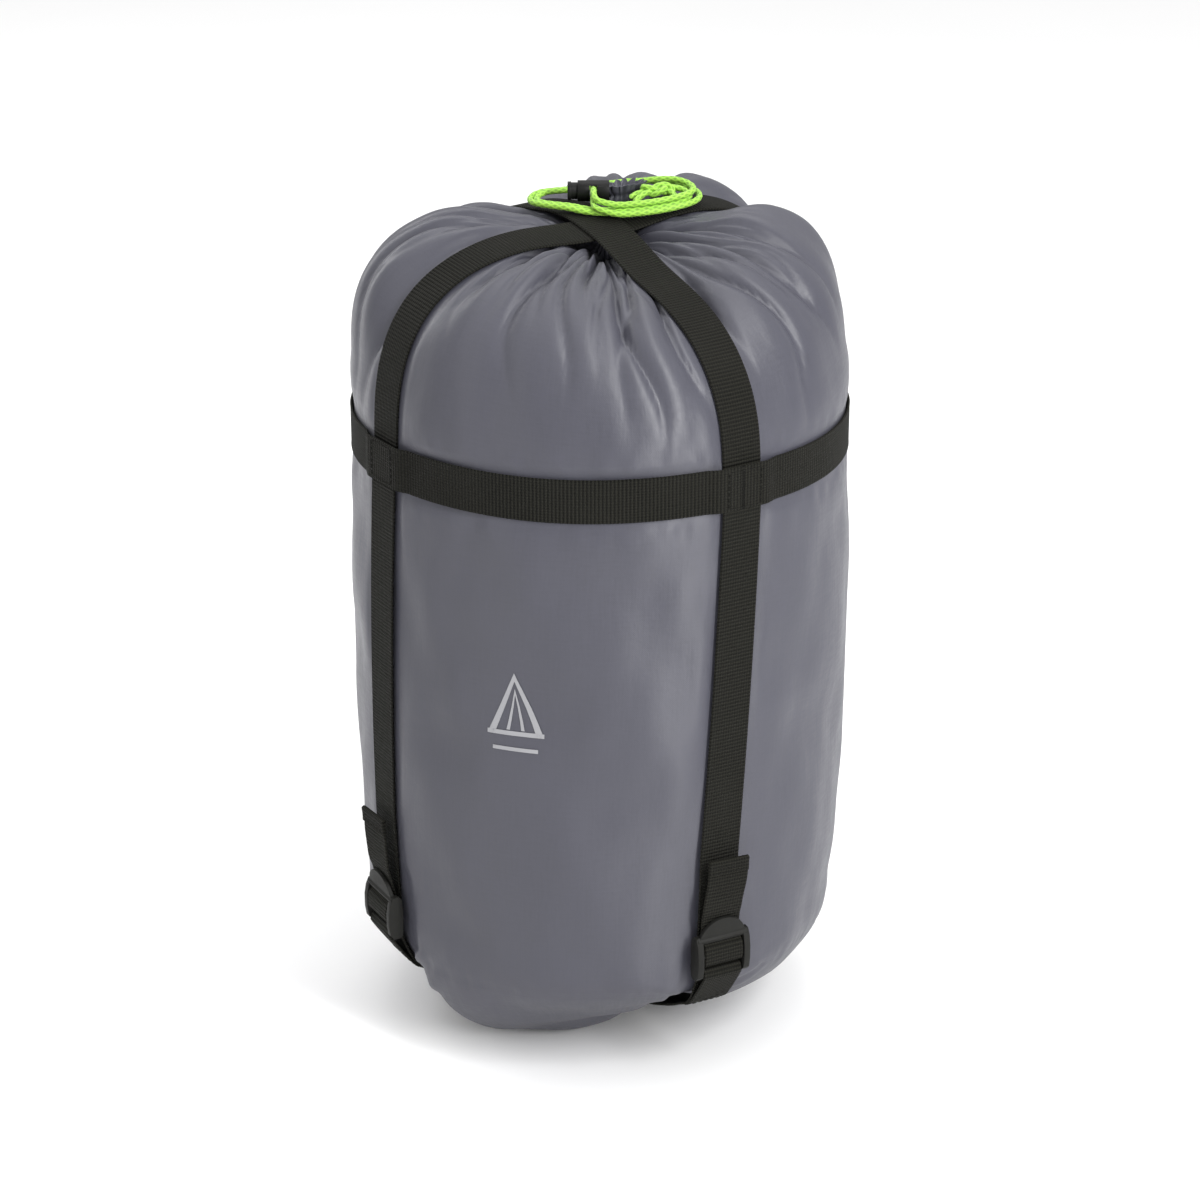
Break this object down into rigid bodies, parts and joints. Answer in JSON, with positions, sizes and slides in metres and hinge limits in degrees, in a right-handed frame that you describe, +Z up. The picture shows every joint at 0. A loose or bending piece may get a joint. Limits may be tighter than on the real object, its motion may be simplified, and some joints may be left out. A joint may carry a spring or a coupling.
{
  "type": "compression sack",
  "caption": "Upright cylindrical fabric compression sack with a gathered drawcord crown, crossed webbing straps, a girth strap and ladder-lock buckles that pull it shorter.",
  "frame": {"origin": "middle of the base, on the surface that the sack stands on", "axes": "+Z up along the sack; the front strap's buckle is at -Y and the other three at +X, +Y and -X"},
  "size_m": [0.2988, 0.2988, 0.4983],
  "materials": {
    "sack_fabric": "satin woven polyester, blue-grey",
    "contents_fabric": "soft quilted filling",
    "webbing": "ribbed polypropylene webbing, off-black",
    "buckle_plastic": "moulded acetal, fine satin",
    "lock_plastic": "moulded, satin",
    "drawcord": "braided polyester cord, lime green",
    "spring_steel": "bright wire"
  },
  "bodies": {
    "root": {"base_panel": "sack_fabric", "side_panel": "sack_fabric", "packed_contents": "contents_fabric", "base_strap_front_back": "webbing", "base_strap_side_to_side": "webbing", "riser_front": "webbing", "riser_right": "webbing", "riser_back": "webbing", "riser_left": "webbing", "tail_strip_front": "webbing", "tail_strip_right": "webbing", "tail_strip_back": "webbing", "tail_strip_left": "webbing"},
    "top": {"crown_panel": "sack_fabric", "crown_contents": "contents_fabric", "cross_strap_side_to_side": "webbing", "cross_strap_front_back": "webbing", "ring_strap": "webbing", "mouth_channel": "sack_fabric", "cord_coil": "drawcord", "cord_knot": "drawcord", "cord_lead_upper": "drawcord", "cord_lead_lower": "drawcord"},
    "buckle_front": {"ladder_lock_front": "buckle_plastic", "strap_wrap_front": "webbing"},
    "buckle_right": {"ladder_lock_right": "buckle_plastic", "strap_wrap_right": "webbing"},
    "buckle_back": {"ladder_lock_back": "buckle_plastic", "strap_wrap_back": "webbing"},
    "buckle_left": {"ladder_lock_left": "buckle_plastic", "strap_wrap_left": "webbing"},
    "tail_front": {"tail_hem_front": "webbing"},
    "tail_right": {"tail_hem_right": "webbing"},
    "tail_back": {"tail_hem_back": "webbing"},
    "tail_left": {"tail_hem_left": "webbing"},
    "cord_lock": {"cord_lock_barrel": "lock_plastic", "cord_lock_spring": "spring_steel"},
    "plunger": {"cord_lock_plunger": "lock_plastic"}
  },
  "joints": [
    {"name": "compress", "type": "slide", "parent": "root", "child": "top", "axis": [0, 0, -1], "range_m": [0, 0.14], "deforming": ["side_panel", "packed_contents", "riser_front", "riser_right", "riser_back", "riser_left"]},
    {"name": "buckle_front_tilt", "type": "hinge", "parent": "root", "child": "buckle_front", "pos_m": [0, -0.143, 0.0765], "axis": [1, 0, 0], "range_deg": [0, 55], "stiffness_Nm_per_rad": 0.02, "springref_deg": -17.19},
    {"name": "buckle_right_tilt", "type": "hinge", "parent": "root", "child": "buckle_right", "pos_m": [0.143, 0, 0.0765], "axis": [0, 1, 0], "range_deg": [0, 55], "stiffness_Nm_per_rad": 0.02, "springref_deg": -17.19},
    {"name": "buckle_back_tilt", "type": "hinge", "parent": "root", "child": "buckle_back", "pos_m": [0, 0.143, 0.0765], "axis": [-1, 0, 0], "range_deg": [0, 55], "stiffness_Nm_per_rad": 0.02, "springref_deg": -17.19},
    {"name": "buckle_left_tilt", "type": "hinge", "parent": "root", "child": "buckle_left", "pos_m": [-0.143, 0, 0.0765], "axis": [0, -1, 0], "range_deg": [0, 55], "stiffness_Nm_per_rad": 0.02, "springref_deg": -17.19},
    {"name": "tail_front_pull", "type": "slide", "parent": "root", "child": "tail_front", "axis": [0, 0, 1], "range_m": [0, 0.14], "deforming": ["tail_strip_front"]},
    {"name": "tail_right_pull", "type": "slide", "parent": "root", "child": "tail_right", "axis": [0, 0, 1], "range_m": [0, 0.14], "deforming": ["tail_strip_right"]},
    {"name": "tail_back_pull", "type": "slide", "parent": "root", "child": "tail_back", "axis": [0, 0, 1], "range_m": [0, 0.14], "deforming": ["tail_strip_back"]},
    {"name": "tail_left_pull", "type": "slide", "parent": "root", "child": "tail_left", "axis": [0, 0, 1], "range_m": [0, 0.14], "deforming": ["tail_strip_left"]},
    {"name": "cord_lock_slide", "type": "slide", "parent": "top", "child": "cord_lock", "axis": [-0.4772, -0.8788, 0], "range_m": [0, 0.004]},
    {"name": "plunger_press", "type": "slide", "parent": "cord_lock", "child": "plunger", "axis": [0.8788, -0.4772, 0], "range_m": [0, 0.0032], "stiffness_N_per_m": 300, "springref_m": -0.004, "deforming": ["cord_lock_spring"]}
  ],
  "couplings": [
    {"joint": "tail_front_pull", "follows": "compress", "ratio": 1},
    {"joint": "tail_right_pull", "follows": "compress", "ratio": 1},
    {"joint": "tail_back_pull", "follows": "compress", "ratio": 1},
    {"joint": "tail_left_pull", "follows": "compress", "ratio": 1}
  ]
}
